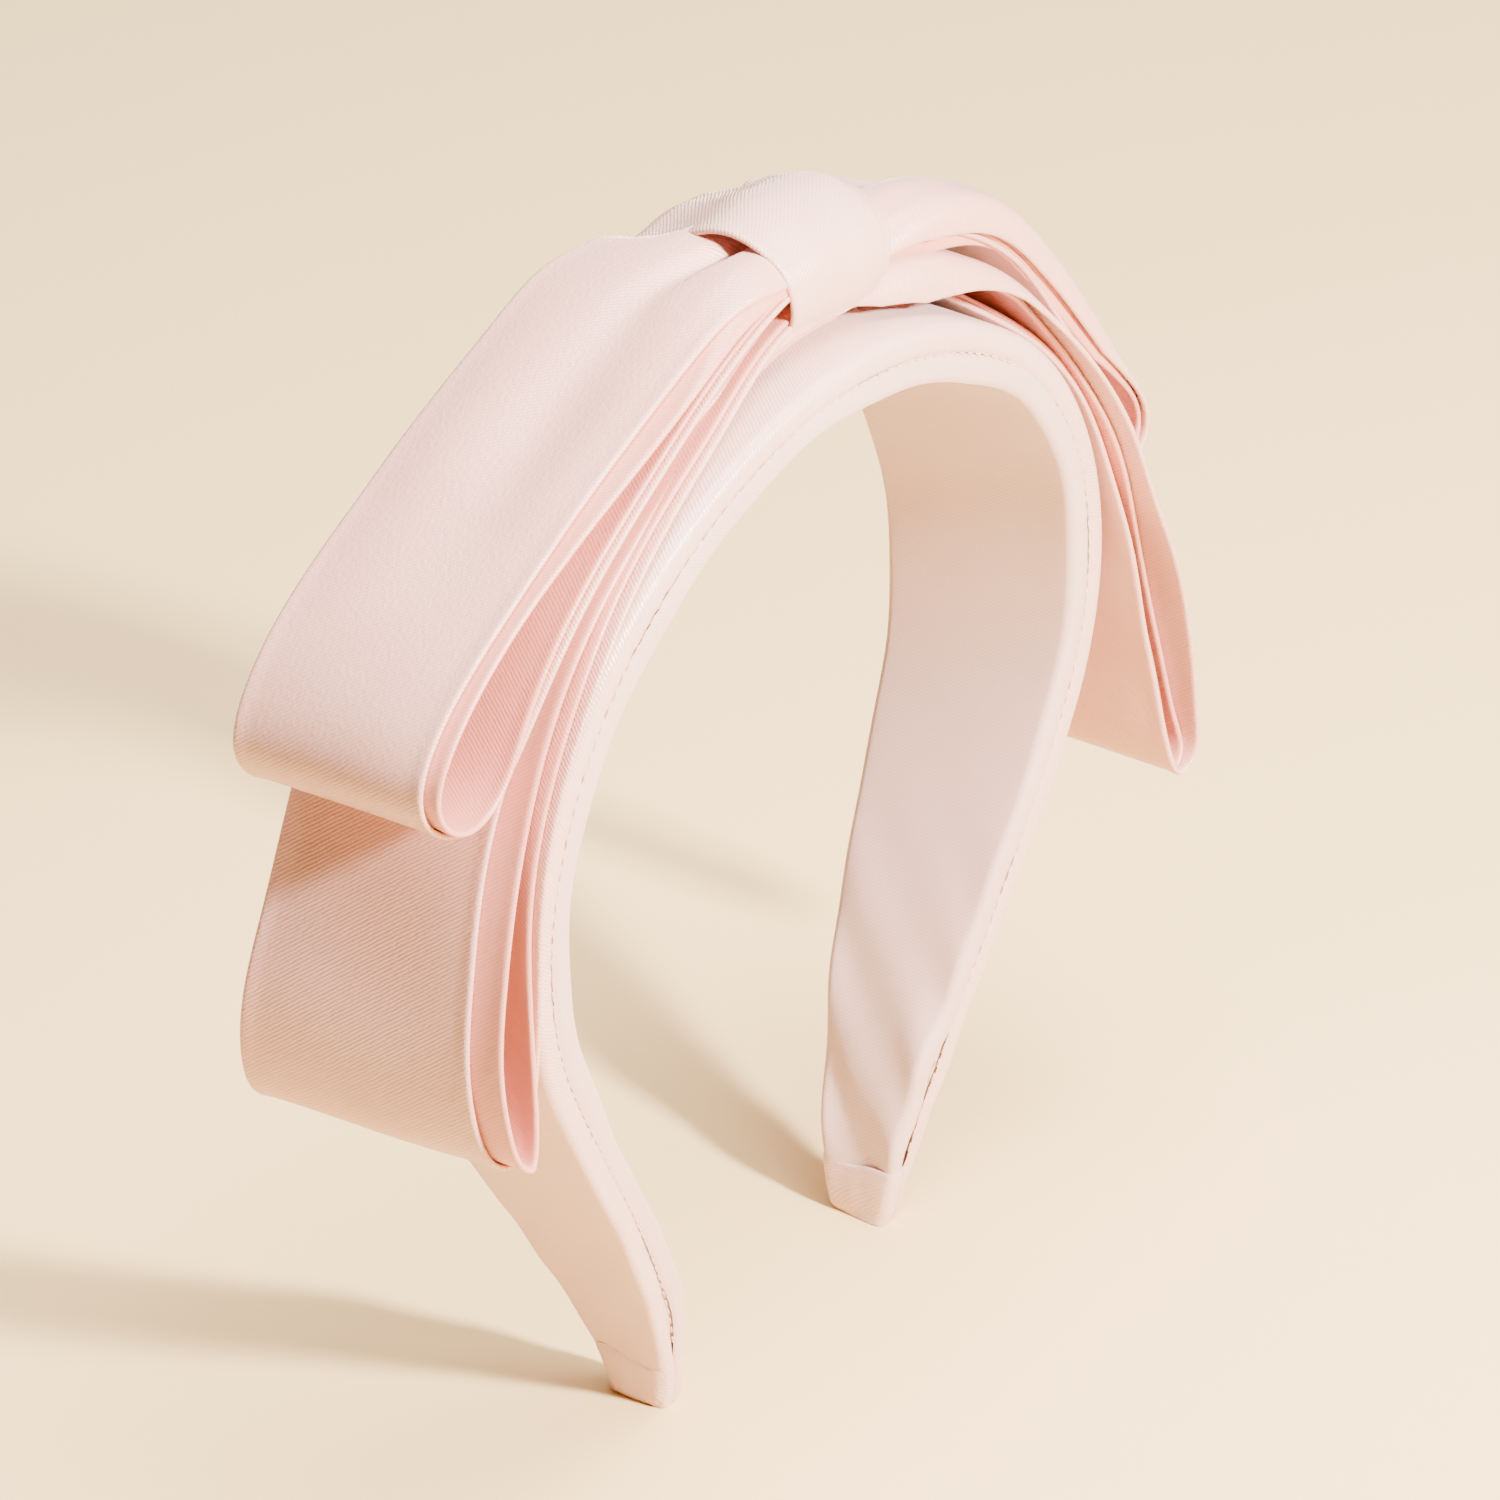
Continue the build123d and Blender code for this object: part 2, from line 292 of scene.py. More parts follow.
def flip_if_inside_out(piece):
    """Turn a piece's faces so that they look outwards."""
    bm = bmesh.new()
    bm.from_mesh(piece.data)
    bmesh.ops.recalc_face_normals(bm, faces=bm.faces)
    bm.to_mesh(piece.data)
    bm.free()


def ply_section(y, n, thickness):
    """Closed cross-section of one ply from its middle line; y, n, thickness are (rows, columns).

    The order is outer side front to back, round the back edge, inner side back to front and
    round the front edge."""
    dy, dn = np.gradient(y, axis=1), np.gradient(n, axis=1)
    size = np.hypot(dy, dn)
    side_y, side_n = -dn / size, dy / size
    half = thickness / 2
    outer_y, outer_n = y + side_y * half, n + side_n * half
    inner_y, inner_n = y - side_y * half, n - side_n * half
    caps = []
    for column, turn_sign in ((-1, 1), (0, -1)):
        centre_y, centre_n = y[:, column], n[:, column]
        out_y, out_n = side_y[:, column], side_n[:, column]
        along_y, along_n = dy[:, column] / size[:, column], dn[:, column] / size[:, column]
        cap = []
        for turn in (45, 90, 135):
            c, s = cos(radians(turn)) * turn_sign, sin(radians(turn)) * turn_sign
            cap.append((centre_y + half[:, column] * (out_y * c + along_y * s),
                        centre_n + half[:, column] * (out_n * c + along_n * s)))
        caps.append((np.stack([p[0] for p in cap], -1), np.stack([p[1] for p in cap], -1)))
    (back_y, back_n), (front_y, front_n) = caps
    return (np.concatenate([outer_y, back_y, inner_y[:, ::-1], front_y], 1),
            np.concatenate([outer_n, back_n, inner_n[:, ::-1], front_n], 1))


# ---------------------------------------------------------------- materials

def node(tree, kind, place, **sockets):
    """Add a shader node and set its inputs by name."""
    made = tree.nodes.new(kind)
    made.location = place
    for key, value in sockets.items():
        made.inputs[key.replace("_", " ")].default_value = value
    return made


def satin(name, base, shade, roughness=0.36, twill=0.85, bump=0.9, glow=0.06, sheen=0.55):
    """Soft satin: fine diagonal twill, slow colour variation, slubs and a little light through."""
    material = bpy.data.materials.new(name)
    material.use_nodes = True
    tree = material.node_tree
    tree.nodes.clear()
    link = tree.links.new
    output = tree.nodes.new("ShaderNodeOutputMaterial")
    output.location = (900, 0)
    cloth = node(tree, "ShaderNodeBsdfPrincipled", (400, 0))
    cloth.inputs["Anisotropic"].default_value = 0.45
    cloth.inputs["Sheen Weight"].default_value = sheen
    cloth.inputs["Sheen Roughness"].default_value = 0.35
    cloth.inputs["Sheen Tint"].default_value = (1.0, 0.93, 0.90, 1)
    cloth.inputs["Specular IOR Level"].default_value = 0.9
    through = node(tree, "ShaderNodeBsdfTranslucent", (400, -450))
    mix = tree.nodes.new("ShaderNodeMixShader")
    mix.location = (700, 0)
    mix.inputs["Fac"].default_value = glow
    place = tree.nodes.new("ShaderNodeUVMap")
    place.uv_map = "cloth"
    place.location = (-1300, 0)

    diagonal = node(tree, "ShaderNodeMapping", (-1100, -200))
    diagonal.inputs["Rotation"].default_value = (0, 0, radians(52))
    diagonal.inputs["Scale"].default_value = (1000 / twill, 1000 / twill, 1)
    link(place.outputs["UV"], diagonal.inputs["Vector"])
    rib = node(tree, "ShaderNodeTexWave", (-900, -200),
               Scale=0.5, Distortion=1.6, Detail=2.0, Detail_Scale=0.6)
    rib.wave_profile = "SIN"
    link(diagonal.outputs["Vector"], rib.inputs["Vector"])

    broad = node(tree, "ShaderNodeTexNoise", (-900, 200), Scale=45.0, Detail=3.0, Roughness=0.5)
    link(place.outputs["UV"], broad.inputs["Vector"])
    stretched = node(tree, "ShaderNodeMapping", (-1100, -550))
    stretched.inputs["Scale"].default_value = (1500, 1000, 1)
    link(place.outputs["UV"], stretched.inputs["Vector"])
    slub = node(tree, "ShaderNodeTexNoise", (-900, -550), Scale=1.0, Detail=2.0, Roughness=0.55)
    link(stretched.outputs["Vector"], slub.inputs["Vector"])

    tone = tree.nodes.new("ShaderNodeValToRGB")
    tone.location = (-650, 200)
    tone.color_ramp.elements[0].position = 0.30
    tone.color_ramp.elements[0].color = (*shade, 1)
    tone.color_ramp.elements[1].position = 0.70
    tone.color_ramp.elements[1].color = (*base, 1)
    link(broad.outputs["Fac"], tone.inputs["Fac"])
    weave_tone = tree.nodes.new("ShaderNodeMixRGB")
    weave_tone.blend_type = "MULTIPLY"
    weave_tone.location = (-350, 150)
    weave_tone.inputs["Fac"].default_value = 0.14
    link(tone.outputs["Color"], weave_tone.inputs["Color1"])
    link(rib.outputs["Color"], weave_tone.inputs["Color2"])
    link(weave_tone.outputs["Color"], cloth.inputs["Base Color"])
    link(weave_tone.outputs["Color"], through.inputs["Color"])

    gloss = node(tree, "ShaderNodeMapRange", (-650, -100))
    gloss.inputs["To Min"].default_value = roughness - 0.05
    gloss.inputs["To Max"].default_value = roughness + 0.08
    link(slub.outputs["Fac"], gloss.inputs["Value"])
    link(gloss.outputs["Result"], cloth.inputs["Roughness"])

    height = tree.nodes.new("ShaderNodeMath")
    height.operation = "MULTIPLY_ADD"
    height.location = (-350, -400)
    height.inputs[1].default_value = 0.35
    link(rib.outputs["Fac"], height.inputs[0])
    link(slub.outputs["Fac"], height.inputs[2])
    relief = node(tree, "ShaderNodeBump", (-100, -350), Strength=bump, Distance=0.00012)
    link(height.outputs["Value"], relief.inputs["Height"])
    link(relief.outputs["Normal"], cloth.inputs["Normal"])
    link(relief.outputs["Normal"], through.inputs["Normal"])

    link(cloth.outputs["BSDF"], mix.inputs[1])
    link(through.outputs["BSDF"], mix.inputs[2])
    link(mix.outputs["Shader"], output.inputs["Surface"])
    return material


def plain(name, base, shade, roughness, scale, bump):
    """A matt or soft material with fine grain: thread, foam or floor."""
    material = bpy.data.materials.new(name)
    material.use_nodes = True
    tree = material.node_tree
    surface = tree.nodes["Principled BSDF"]
    surface.inputs["Roughness"].default_value = roughness
    place = tree.nodes.new("ShaderNodeTexCoord")
    grain = node(tree, "ShaderNodeTexNoise", (-700, 0), Scale=scale, Detail=4.0, Roughness=0.6)
    tree.links.new(place.outputs["Object"], grain.inputs["Vector"])
    tone = tree.nodes.new("ShaderNodeValToRGB")
    tone.color_ramp.elements[0].position = 0.35
    tone.color_ramp.elements[0].color = (*shade, 1)
    tone.color_ramp.elements[1].position = 0.65
    tone.color_ramp.elements[1].color = (*base, 1)
    tree.links.new(grain.outputs["Fac"], tone.inputs["Fac"])
    tree.links.new(tone.outputs["Color"], surface.inputs["Base Color"])
    relief = node(tree, "ShaderNodeBump", (-250, -300), Strength=bump, Distance=0.0002)
    tree.links.new(grain.outputs["Fac"], relief.inputs["Height"])
    tree.links.new(relief.outputs["Normal"], surface.inputs["Normal"])
    return material


PINK, PINK_SHADE = (0.87, 0.48, 0.41), (0.86, 0.44, 0.37)
# The cover's satin is paler than the bow's: its own colour with painted sheen for the lit top of
# the hoop
COVER = satin("satin_cover", (0.88, 0.575, 0.51), (0.87, 0.54, 0.475))
LINING = satin("satin_lining", (0.80, 0.55, 0.505), (0.78, 0.51, 0.465),
               roughness=0.46, bump=0.3)
BOW = satin("satin_bow", PINK, PINK_SHADE)
# The backing ply's satin is darker and redder than the face's: painted shade for the hollows inside
# the loops, where this ply faces in
BACKING = satin("satin_backing", (0.86, 0.36, 0.29), (0.85, 0.325, 0.26), bump=0.5, sheen=0.3)
KNOT = satin("satin_knot", (0.88, 0.55, 0.475), (0.87, 0.515, 0.435), roughness=0.38)
THREAD = plain("thread", (0.80, 0.50, 0.43), (0.70, 0.42, 0.36), 0.6, 900.0, 0.3)
FOAM = plain("foam", (0.86, 0.70, 0.58), (0.78, 0.62, 0.50), 0.9, 600.0, 0.5)
FLOOR = plain("floor", (0.88, 0.665, 0.33), (0.875, 0.66, 0.325), 0.85, 3.0, 0.02)


# ---------------------------------------------------------------- bow loops

def pleats(loop, run, total, v, y):
    """Gathering at the knot: heights added over a loop's ribbon.

    run is the distance from the knot in mm; v is 0 at the back edge and 1 at the front."""
    on_top = run / total < 0.5             # the half that goes out along the loop's top
    raised = np.zeros(np.broadcast(run, y).shape)
    if loop == "upper_left":
        fade = np.exp(-(np.maximum(run - 8, 0) / 24) ** 1.6)
        width = 0.045 + 0.12 * smoothstep(8, 60, run)
        valley = 0.72 - 0.13 * smoothstep(4, 30, run)
        raised -= 2.2 * fade * np.exp(-((v - valley) / width) ** 2)
        raised -= 5.0 * (1 - smoothstep(9, 21, run)) * (1 - smoothstep(0.10, 0.42, v))
        raised += 0.7 * fade * np.exp(-((v - 0.86) / 0.10) ** 2)
        raised += 0.8 * fade * np.exp(-((v - 0.36) / 0.20) ** 2)
        raised -= 1.3 * np.exp(-((run - 56) / 17) ** 2) * np.exp(-((v - 0.60) / 0.20) ** 2)
        raised += 0.7 * np.exp(-((run - 62) / 22) ** 2) * np.exp(-((v - 0.2) / 0.25) ** 2)
    if loop == "upper_right":
        fade = np.exp(-(np.maximum(run - 6, 0) / 26) ** 1.6)
        raised += 0.5 * fade * np.exp(-((v - 0.25) / 0.12) ** 2)
        raised -= 1.3 * fade * np.exp(-((v - 0.50) / 0.08) ** 2)
        raised += 0.5 * fade * np.exp(-((v - 0.72) / 0.12) ** 2)
        raised -= (4.4 * smoothstep(13, 25, run) * (1 - smoothstep(38, 60, run))
                   * (1 - smoothstep(0.35, 0.80, v)))
        raised += 1.2 * np.exp(-((run - 16) / 6) ** 2) * np.exp(-((v - 0.28) / 0.18) ** 2)
    if loop == "lower_right":
        fade = np.exp(-(np.maximum(run - 8, 0) / 22) ** 1.6)
        raised += 0.8 * fade * np.exp(-((v - 0.8) / 0.12) ** 2)
        raised -= (5.5 * smoothstep(2, 12, run) * (1 - smoothstep(36, 58, run))
                   * (1 - smoothstep(0.02, 0.38, v)))
    slow = waves(run, y, seed=len(loop) * 7 + 3)
    calm = smoothstep(6, 30, run) * smoothstep(6, 40, total - run)
    return raised * on_top + 0.16 * slow * calm


def ribbon(loop, ply_index):
    """One ply of a loop's folded ribbon, as a closed thin sheet with turned edges."""
    stations = np.array(LOOPS[loop], float)
    steps = np.hypot(*np.diff(stations[:, :2], axis=0).T) ** 0.7
    t = np.r_[0, np.cumsum(steps)]
    fine = natural_spline(t, stations, np.linspace(0, t[-1], RIBBON_STEPS * 4))
    run, (line, rest) = evenly(hoop_point(fine[:, 0], fine[:, 1]), RIBBON_STEPS, fine[:, 2:])
    out = normals_of(line)
    if np.dot(out[RIBBON_STEPS // 8], [0, 1]) < 0:
        out = -out
    total = run[-1]
    front = rest[:, 1] if ply_index else rest[:, 0]
    fold_row = int(np.argmax(np.abs(np.arctan2(line[:, 0], line[:, 1] - 95.0))))
    fold = run[fold_row]
    flare = FLARES[loop] * np.exp(-((run - fold) / 42) ** 2)
    back, curl = rest[:, 2] - 0.74 * flare, rest[:, 3]
    if ply_index:
        back = back - BACKING_SHORT
    radius, rolls = ROLLS[loop]
    rolls = np.array(rolls, float)
    margin = np.interp(run, rolls[:, 0], rolls[:, 1 + ply_index])[:, None]
    bend = front[:, None] + radius * np.sin(np.minimum(margin / radius, pi / 2))
    width = margin + back[:, None] - bend
    v = np.linspace(0, 1, WIDTH_STEPS)
    v = 0.5 - 0.5 * np.cos(pi * (0.12 + 0.76 * v))
    v = (v - v[0]) / (v[-1] - v[0])
    across = width * v                     # from the front edge
    past = np.maximum(margin - across, 0)
    turn = np.minimum(past / radius, MOST_ROLL)
    straight = past - radius * turn
    y = bend + np.maximum(across - margin, 0) - radius * np.sin(turn) - straight * np.cos(turn)
    fall = radius * (1 - np.cos(turn)) + straight * np.sin(turn)
    middle = (rest[:, 0] + rest[:, 2])[:, None] / 2
    reach = (rest[:, 2] - rest[:, 0])[:, None] / 2
    share = (y - middle) / reach
    from_back = (rest[:, 2][:, None] - y) / (rest[:, 2] - rest[:, 0])[:, None]
    edge = np.minimum(across, width - across)
    gathers = pleats(loop, run[:, None], total, from_back, y)
    n = -curl[:, None] * np.abs(share) ** 2.6 + gathers - fall
    n = n - PLY_EDGE / 2 - ply_index * PLY_PITCH
    thickness = PLY + (PLY_EDGE - PLY) * np.exp(-(edge / EDGE_REACH) ** 2)
    ring_y, ring_n = ply_section(y, n, thickness)
    lean = np.interp(ring_y, (-20, 20), (0, 1)) * flare[:, None] * np.sign(line[fold_row, 0])
    x = line[:, :1] + out[:, :1] * ring_n + lean
    z = line[:, 1:] + out[:, 1:] * ring_n
    points = np.stack([x, ring_y, z], -1)
    uv = np.stack([ring_y, np.repeat(run[:, None], ring_y.shape[1], 1)], -1)
    kind = "backing" if ply_index else "face"
    # The backing ply takes the satin with painted shade in its colour
    piece = grid_mesh(f"{loop}_{kind}", points, uv, BACKING if ply_index else BOW,
                      round_columns=True, capped=True)
    flip_if_inside_out(piece)
    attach(piece, "root")
    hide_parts(f"{loop}_loop_{kind}")


# ---------------------------------------------------------------- hoop

def hoop_middle(count):
    """The hoop's mid line from the left tip over the crown to the right tip, evenly spaced."""
    crown = [(CROWN_RADIUS * sin(a), CROWN_HEIGHT - CROWN_RADIUS + CROWN_RADIUS * cos(a))
             for a in np.radians(np.linspace(0, CROWN_TURN, 40))]
    rise = CROWN_RADIUS - SHOULDER_RADIUS
    x0 = rise * sin(radians(CROWN_TURN))
    z0 = CROWN_HEIGHT - CROWN_RADIUS + rise * cos(radians(CROWN_TURN))
    end = CROWN_TURN + SHOULDER_TURN
    shoulder = [(x0 + SHOULDER_RADIUS * sin(a), z0 + SHOULDER_RADIUS * cos(a))
                for a in np.radians(np.linspace(CROWN_TURN, end, 60))][1:]
    leg = [np.array(shoulder[-1]), np.array(KNEE), np.array((TIP_X, 0.0))]
    first, second = (np.linalg.norm(leg[1] - leg[0]), np.linalg.norm(leg[2] - leg[1]))
    start = np.array([cos(radians(end)), -sin(radians(end))])
    stop = np.array([0.0, -1.0])
    knee = (3 * (second * (leg[1] - leg[0]) / first + first * (leg[2] - leg[1]) / second)
            - second * start - first * stop) / (2 * (first + second))
    lower = []
    for a, b, m0, m1, size in ((leg[0], leg[1], start, knee, first),
                               (leg[1], leg[2], knee, stop, second)):
        for u in np.linspace(0, 1, 50)[1:]:
            lower.append((2 * u ** 3 - 3 * u ** 2 + 1) * a + (u ** 3 - 2 * u ** 2 + u) * size * m0
                         + (3 * u ** 2 - 2 * u ** 3) * b + (u ** 3 - u ** 2) * size * m1)
    half = np.vstack([crown, shoulder, lower])
    whole = np.vstack([(half * [-1, 1])[::-1], half[1:]])
    run, (line,) = evenly(whole, count)
    return run, line


HOOP_STEPS = 420
hoop_run, hoop_line = hoop_middle(HOOP_STEPS)
hoop_out = normals_of(hoop_line)
from_tip = np.minimum(hoop_run, hoop_run[-1] - hoop_run)
knee_run = hypot(KNEE[0] - TIP_X, KNEE[1])
pad_half = np.interp(from_tip, (0, knee_run, knee_run + 62), HALF_PAD[::-1])
wide_half = natural_spline(HALF_WIDTH_Z, HALF_WIDTH, hoop_line[:, 1])


def half_section(width, pad, corner, dome, direction):
    """Half the hoop's cross-section, seam to seam over one face, for every station.

    direction is 1 over the outer face and -1 under the inner face."""
    rc = np.minimum(corner, pad * 0.8) * np.ones_like(width)
    ys, ns = [], []
    for share in (0.0, 0.06, 0.14, 0.3, 0.6, 1.0):
        ns.append(share * (pad - rc))
        ys.append(-width + 0.40 * np.exp(-(share * 6) ** 2))
    for turn in np.radians(np.linspace(12, 90, 8)):
        ys.append(-width + rc * (1 - np.cos(turn)))
        ns.append(pad - rc + rc * np.sin(turn))
    for share in np.linspace(-1, 0, 12)[1:]:
        ys.append(share * (width - rc))
        ns.append(pad)
    ys = np.array(ys).T
    ns = np.array(ns).T
    ns = ns - dome * (ys / width[:, None]) ** 2 * (ns / pad[:, None])
    ys = np.concatenate([ys, -ys[:, -2::-1]], 1)
    ns = np.concatenate([ns, ns[:, -2::-1]], 1)
    return ys, direction * ns


def hoop_half(name, direction, material, corner, dome):
    """The satin over one face of the hoop, from seam to seam."""
    y, n = half_section(wide_half, pad_half, corner, dome, direction)
    tip = from_tip[:, None]
    run = hoop_run[:, None]
    pucker = np.exp(-(np.abs(n) / 2.2) ** 2) * (0.07 * np.sin(run * 2 * pi / 3.1)
                                               + 0.05 * np.sin(run * 2 * pi / 4.7 + 1.3))
    y = y * (1 + pucker / 18)
    side_weight = np.exp(-((np.abs(y) - wide_half[:, None]) / 5.0) ** 2)
    near_tip = np.exp(-((tip - 24) / 30) ** 2)
    folds = waves(run + 0.9 * y, y, seed=11, long_wave=44, short_wave=16)
    folds = folds * (0.5 + 0.8 * side_weight) * near_tip
    folds = folds * np.where(hoop_line[:, 0] > 0, 1.3, 0.6)[:, None] * (1 if direction < 0 else 0.5)
    soft = waves(run, y, seed=21 if direction > 0 else 34, long_wave=70, short_wave=26)
    n = n + direction * (0.50 * folds + (0.10 if direction > 0 else 0.42) * soft)
    x = hoop_line[:, :1] + hoop_out[:, :1] * n
    z = hoop_line[:, 1:] + hoop_out[:, 1:] * n
    z = np.maximum(z, 0.15)
    points = np.stack([x, y + HOOP_Y, z], -1)
    across = np.concatenate([np.zeros((HOOP_STEPS, 1)), np.cumsum(np.hypot(np.diff(y, axis=1),
                             np.diff(n, axis=1)), 1)], 1)
    uv = np.stack([across, np.repeat(run, y.shape[1], 1)], -1)
    if direction < 0:
        points, uv = points[:, ::-1], uv[:, ::-1]
    piece = grid_mesh(name, points, uv, material)
    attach(piece, "root")
    return piece


def hoop_solid(name, inset, material, first, last):
    """The closed filling of the hoop, inset from its satin, between two stations."""
    part = slice(first, last)
    top_y, top_n = half_section(wide_half - inset, pad_half - inset, 2.0, 0.2, 1)
    low_y, low_n = half_section(wide_half - inset, pad_half - inset, 1.2, 0.0, -1)
    y = np.concatenate([top_y, low_y[:, -2:0:-1]], 1)[part]
    n = np.concatenate([top_n, low_n[:, -2:0:-1]], 1)[part]
    line, out = hoop_line[part], hoop_out[part]
    ring = np.stack([line[:, :1] + out[:, :1] * n, y + HOOP_Y, line[:, 1:] + out[:, 1:] * n], -1)
    close = [np.repeat(ring[end].mean(0)[None, None], ring.shape[1], 1) for end in (0, -1)]
    points = np.concatenate([close[0], ring, close[1]])
    uv = points[..., :2]
    piece = grid_mesh(name, points, uv, material, round_columns=True)
    flip_if_inside_out(piece)
    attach(piece, "root")
    return piece


def tip_fold(name, side):
    """The satin folded up round the end of one leg, with a soft crease at its top."""
    rows = []
    levels = np.array([0.0, 0.25, 0.9, 2.2, 4.0, 6.0, 7.6, 8.7, 9.3, 9.5, 9.3])
    stand = np.array([-1.3, -0.45, 0.05, 0.2, 0.24, 0.24, 0.22, 0.16, 0.02, -0.2, -0.5])
    upright = hoop_line[:, 0] * side > 0
    for level, out in zip(levels, stand):
        station = int(np.argmin(np.where(upright, np.abs(hoop_line[:, 1] - level), 1e9)))
        here = slice(station, station + 1)
        top_y, top_n = half_section(wide_half[here], pad_half[here], 2.0, 0.1, 1)
        low_y, low_n = half_section(wide_half[here], pad_half[here], 1.6, 0.0, -1)
        y = np.concatenate([top_y, low_y[:, -2:0:-1]], 1)[0]
        n = np.concatenate([top_n, low_n[:, -2:0:-1]], 1)[0]
        size = np.hypot(y, n)
        turn = np.arctan2(n, y)
        crumple = 0.10 * np.sin(turn * 2 + side) + 0.06 * np.sin(turn * 5 + 2)
        grow = 1 + (out + crumple * smoothstep(0, 3, level)) / np.maximum(size, 2.5)
        slope = 0.5 * np.sin(turn * 2 + 0.6 * side) * smoothstep(5, 9, level)
        centre = hoop_line[station]
        normal = hoop_out[station]
        rows.append(np.stack([centre[0] + normal[0] * n * grow, y * grow + HOOP_Y,
                              np.full_like(y, level) + slope], -1))
    points = np.array(rows)
    base = np.repeat(points[0].mean(0)[None, None], points.shape[1], 1)
    points = np.concatenate([base, points])
    run = np.r_[0, 3, 3 + levels[:-1]]
    around = np.linspace(0, TIP_FOLD_CUT[0] / MM, points.shape[1])
    uv = np.stack(np.broadcast_arrays(around[None, :], run[:, None]), -1)
    piece = grid_mesh(name, points, uv, COVER, round_columns=True)
    flip_if_inside_out(piece)
    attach(piece, "root")
    return piece


def stitches(name, edge):
    """A row of small stitches in the seam groove along one edge of the hoop."""
    total = hoop_run[-1]
    verts, faces = [], []
    for centre in np.arange(14, total - 13, STITCH_PITCH):
        ring = []
        for share in (-1, -0.7, 0, 0.7, 1):
            at = centre + share * STITCH_LENGTH / 2
            x = np.interp(at, hoop_run, hoop_line[:, 0])
            z = np.interp(at, hoop_run, hoop_line[:, 1])
            nx = np.interp(at, hoop_run, hoop_out[:, 0])
            nz = np.interp(at, hoop_run, hoop_out[:, 1])
            wide = np.interp(at, hoop_run, wide_half)
            radius = STITCH_RADIUS * (0.25 if abs(share) == 1 else 1)
            depth = 0.12 * share ** 2 + 0.16
            start = len(verts)
            for k in range(STITCH_SIDES):
                turn = 2 * pi * k / STITCH_SIDES
                rise = radius * sin(turn)
                y = HOOP_Y + edge * (wide - depth + radius * cos(turn))
                verts.append((x + nx * rise, y, z + nz * rise))
            ring.append(start)
        for a, b in zip(ring[:-1], ring[1:]):
            for k in range(STITCH_SIDES):
                following = (k + 1) % STITCH_SIDES
                faces.append((a + k, a + following, b + following, b + k))
        faces.append(tuple(ring[0] + k for k in range(STITCH_SIDES))[::-1])
        faces.append(tuple(ring[-1] + k for k in range(STITCH_SIDES)))
    mesh = bpy.data.meshes.new(name)
    mesh.from_pydata((np.array(verts) * MM).tolist(), [], faces)
    mesh.materials.append(THREAD)
    mesh.polygons.foreach_set("use_smooth", np.ones(len(faces), bool))
    piece = bpy.data.objects.new(name, mesh)
    bpy.context.scene.collection.objects.link(piece)
    flip_if_inside_out(piece)
    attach(piece, "root")
    return piece


# ---------------------------------------------------------------- knot

KNOT_PROFILE = (                           # (y, height over the cover), round the knot
    (0.0, 0.55), (-9.0, 0.7), (-13.8, 1.8), (-16.6, 5.6), (-17.0, 10.4), (-15.6, 14.8),
    (-12.0, 17.9), (-7.0, 19.6), (-2.4, 19.0), (3.4, 16.2), (8.6, 13.9), (13.2, 11.4),
    (14.7, 7.0), (14.6, 2.6), (10.5, 0.6),
)


def knot_ring(count):
    """The knot's closed profile, evenly spaced, with its outward normals."""
    ring = np.array(KNOT_PROFILE, float)
    whole = np.vstack([ring] * 3 + [ring[:1]])
    t = np.r_[0, np.cumsum(np.hypot(*np.diff(whole, axis=0).T) ** 0.8)]
    size = len(ring)
    fine = natural_spline(t, whole, np.linspace(t[size], t[2 * size], 900))
    run, (line,) = evenly(fine, count + 1)
    out = -normals_of(line)
    middle = line.mean(0)
    if np.dot(out[count // 2], line[count // 2] - middle) < 0:
        out = -out
    return run[:-1], line[:-1], out[:-1]


def knot_strip(name, left, right, lift):
    """One wrap of the knot; left, right and lift are functions of the place round the knot."""
    around, columns = 180, 30
    run, line, out = knot_ring(around)
    turn = np.arctan2(line[:, 1] - 9.5, -line[:, 0])       # 0 in front, pi / 2 on top
    turn = np.where(turn < -pi / 2, turn + 2 * pi, turn)
    low, high = left(turn), right(turn)
    u = np.linspace(0, 1, columns)
    along = low[:, None] + (high - low)[:, None] * u
    barrel = np.where(along < 0, -0.9, -2.6) * (np.abs(along) / 13) ** 2.4
    crease = 0.16 * waves(run[:, None] * 0.6, along * 3.2, seed=5, long_wave=30, short_wave=12)
    under = smoothstep(0.5, 3.0, line[:, 1])[:, None]
    n = (barrel + crease) * under + lift(turn)[:, None] * np.ones_like(along)
    edge = np.minimum(along - low[:, None], high[:, None] - along)
    thickness = 0.55 + 0.45 * np.exp(-(edge / 1.2) ** 2)
    ring_a, ring_n = ply_section(along, n - 0.5, thickness)
    y = line[:, :1] + out[:, :1] * ring_n
    h = np.maximum(line[:, 1:] + out[:, 1:] * ring_n, 0.15)
    tilt = radians(PINCH_ANGLE)
    reach = CROWN_RADIUS + HALF_PAD[0]
    swing = tilt + ring_a / (reach + 9)
    level = CROWN_HEIGHT - CROWN_RADIUS
    x = (h + reach) * np.sin(swing)
    z = level + (h + reach) * np.cos(swing)
    points = np.stack([x, y, z], -1)
    uv = np.stack([ring_a, np.repeat(run[:, None], ring_a.shape[1], 1)], -1)
    piece = grid_mesh(name, points, uv, KNOT, round_columns=True, round_rows=True)
    flip_if_inside_out(piece)
    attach(piece, "root")
    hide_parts("knot_wrap")
    return piece, float(run[-1])


# ---------------------------------------------------------------- build

cover_corner = np.interp(from_tip, (0, 60, 120), (1.1, 1.2, 2.0))
cover = hoop_half("hoop_cover", 1, COVER, cover_corner, 0.35)
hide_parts("outer_cover")
lining = hoop_half("hoop_lining", -1, LINING, 1.5, 0.0)
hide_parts("inner_lining")
pad = hoop_solid("foam_pad_soft", 1.0, FOAM, 12, HOOP_STEPS - 12)
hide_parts("foam_pad", "hoop_core")

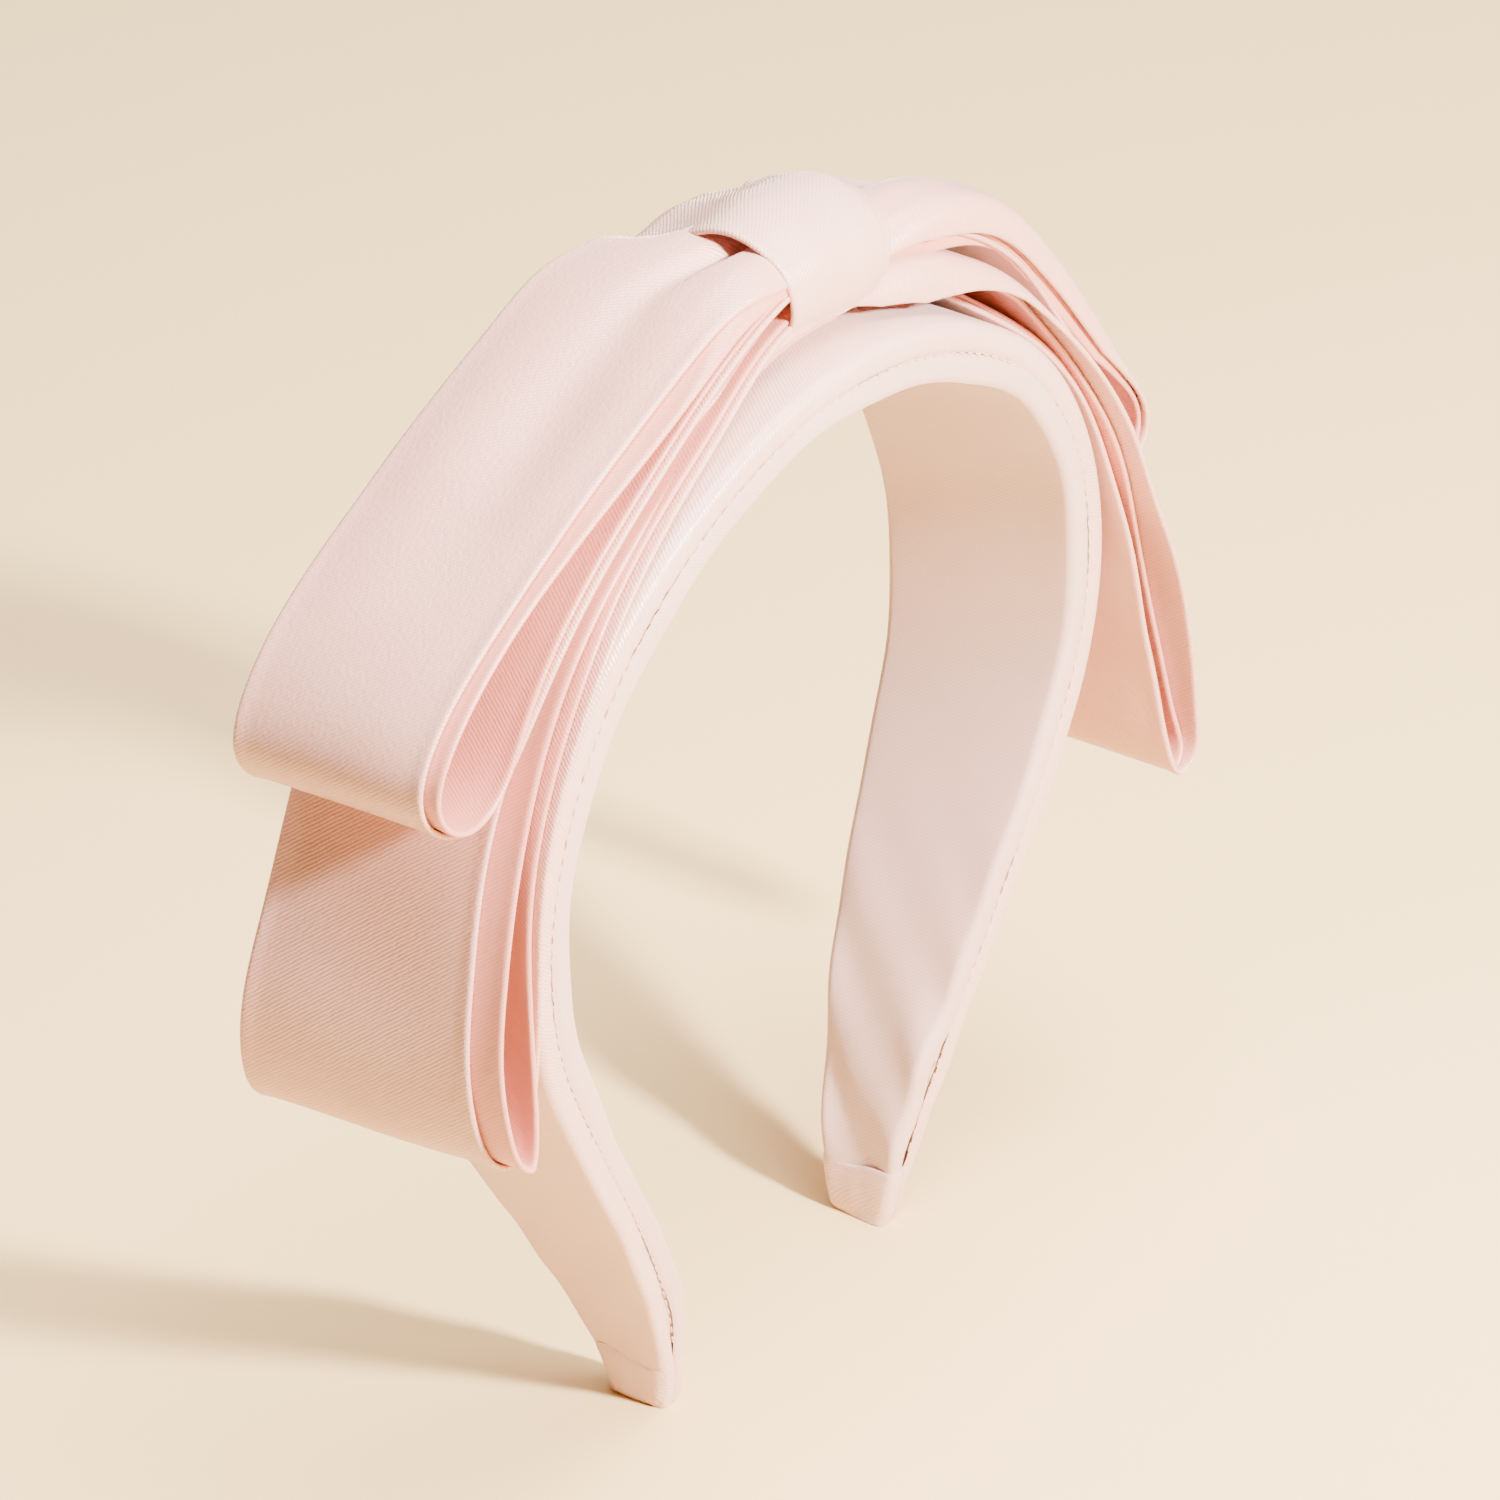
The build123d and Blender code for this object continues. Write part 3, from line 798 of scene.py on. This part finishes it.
for side, word in ((-1, "left"), (1, "right")):
    fold = tip_fold(f"{word}_tip_fold_satin", side)
    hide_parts(f"{word}_tip_fold")
for edge, word in ((-1, "front"), (1, "back")):
    row = stitches(f"{word}_seam_stitches", edge)
    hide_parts(f"{word}_seam_thread")

for loop in LOOPS:
    for ply_index in (0, 1):
        ribbon(loop, ply_index)

over, knot_round = knot_strip(
    "knot_wrap_over",
    left=lambda turn: -13.7 - 1.2 * np.sin(turn),
    right=lambda turn: 2.4 + 4.6 * np.cos(np.clip(turn, -pi / 2, pi / 2)) ** 0.5,
    lift=lambda turn: 0.75 * smoothstep(-0.7, 0.3, turn))
under, _ = knot_strip(
    "knot_wrap_under",
    left=lambda turn: -1.0 + 0 * turn,
    right=lambda turn: 12.6 - 1.4 * np.cos(turn) ** 2,
    lift=lambda turn: -0.05 + 0 * turn)

for threads in ("gather_thread", "bow_tack_stitches", "knot_closing_stitches"):
    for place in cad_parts[threads].material_slots:
        place.material = THREAD

# ---------------------------------------------------------------- stage, camera and light

floor_line = np.linspace(-FLOOR_REACH, FLOOR_REACH, 3)
floor_grid = np.stack(np.meshgrid(floor_line, floor_line, [0.0], indexing="xy"), -1)[:, :, 0]
floor = grid_mesh("floor", floor_grid, np.zeros((3, 3, 2)), FLOOR)

CAMERA_AZIMUTH, CAMERA_ELEVATION, CAMERA_ROLL = -53.384, 30.700, -1.932
CAMERA_DISTANCE = 1077.567
CAMERA_TARGET = Vector((3.013, -1.8, 96.322))
camera_data = bpy.data.cameras.new("camera")
camera_data.sensor_width = 36.0
camera_data.lens = 176.33
camera_data.clip_end = 50.0
camera = bpy.data.objects.new("camera", camera_data)
bpy.context.scene.collection.objects.link(camera)
azimuth, elevation, roll = (radians(a) for a in (CAMERA_AZIMUTH, CAMERA_ELEVATION, CAMERA_ROLL))
back = Vector((sin(azimuth) * cos(elevation), -cos(azimuth) * cos(elevation), sin(elevation)))
level = Vector((0, 0, 1)).cross(back).normalized()
upright = back.cross(level)
right = level * cos(roll) + upright * sin(roll)
up = upright * cos(roll) - level * sin(roll)
camera.matrix_world = Matrix((
    (right.x, up.x, back.x, 0), (right.y, up.y, back.y, 0),
    (right.z, up.z, back.z, 0), (0, 0, 0, 1)))
camera.location = (CAMERA_TARGET + back * CAMERA_DISTANCE) * MM
bpy.context.scene.camera = camera


LIGHT_COLOUR = (1.0, 0.90, 0.81)
LIGHT_AIM = Vector((0, 0, 0.08))           # every lamp looks at the middle of the hoop


def soft_light(name, place, size, power):
    """A square area light; place and size in metres."""
    data = bpy.data.lights.new(name, "AREA")
    data.shape = "SQUARE"
    data.size = size
    data.energy = power
    data.color = LIGHT_COLOUR
    lamp = bpy.data.objects.new(name, data)
    bpy.context.scene.collection.objects.link(lamp)
    lamp.location = place
    lamp.rotation_euler = (LIGHT_AIM - Vector(place)).to_track_quat("-Z", "Y").to_euler()


soft_light("key", (-0.020, -0.716, 0.553), 0.08, 41.5)
soft_light("overhead", (0.1, -0.2, 1.2), 0.7, 41.0)
soft_light("back_right", (0.9, 0.9, 1.2), 1.4, 15.0)
world = bpy.data.worlds.new("studio")
world.use_nodes = True
world.node_tree.nodes["Background"].inputs["Color"].default_value = (*LIGHT_COLOUR, 1)
world.node_tree.nodes["Background"].inputs["Strength"].default_value = 0.01
bpy.context.scene.world = world
